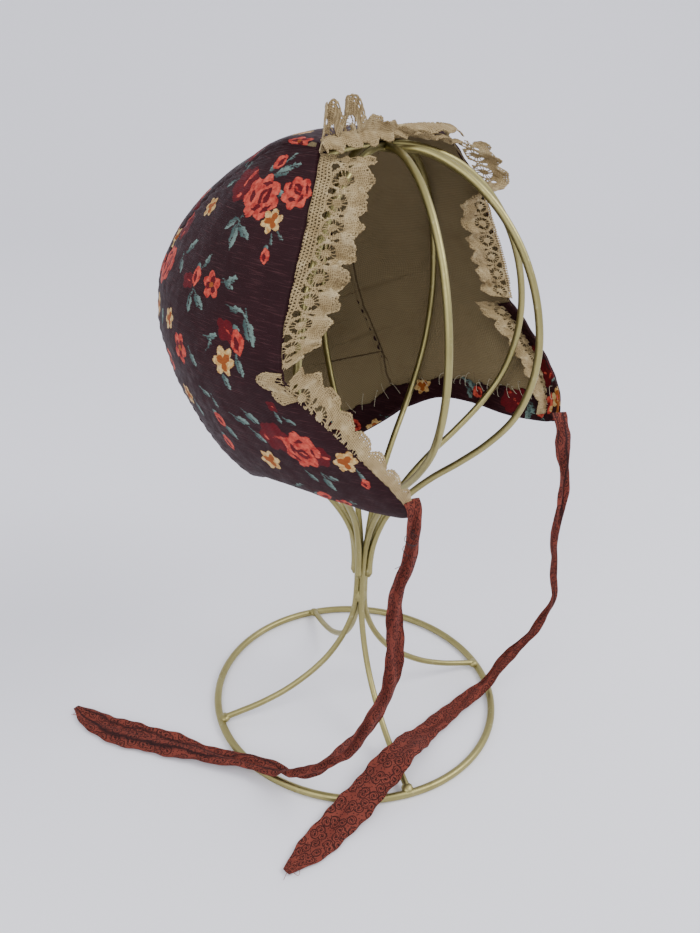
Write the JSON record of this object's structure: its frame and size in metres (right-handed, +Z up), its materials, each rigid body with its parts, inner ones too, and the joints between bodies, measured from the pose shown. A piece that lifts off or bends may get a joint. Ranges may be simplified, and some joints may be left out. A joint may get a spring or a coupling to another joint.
{
  "type": "frame cap on a plain wire stand",
  "caption": "Frame cap of dark rose-printed cotton, lined with linen, edged with gathered lace, with two printed ties, on its wire display stand.",
  "frame": {"origin": "middle of the box at floor level; the stand's own axis is 20.4 mm forward of it, at y -0.0204", "axes": "+Z up, -Y the way the face looks, +X the wearer's left"},
  "size_m": [0.2462, 0.2314, 0.383],
  "materials": {
    "satin_brass": "satin",
    "printed_cotton": "glazed",
    "olive_linen": "matt",
    "cream_lace": "matt",
    "scroll_print_tape": "matt"
  },
  "bodies": {
    "root": {"wire_stand": "satin_brass", "centre_panel": "printed_cotton", "right_side_panel": "printed_cotton", "left_side_panel": "printed_cotton", "lining": "olive_linen", "neck_facing": "printed_cotton", "right_face_lace": "cream_lace", "left_face_lace": "cream_lace", "right_cheek_lace": "cream_lace", "left_cheek_lace": "cream_lace", "forehead_lace": "cream_lace", "right_tie": "scroll_print_tape", "left_tie": "scroll_print_tape"}
  },
  "joints": []
}
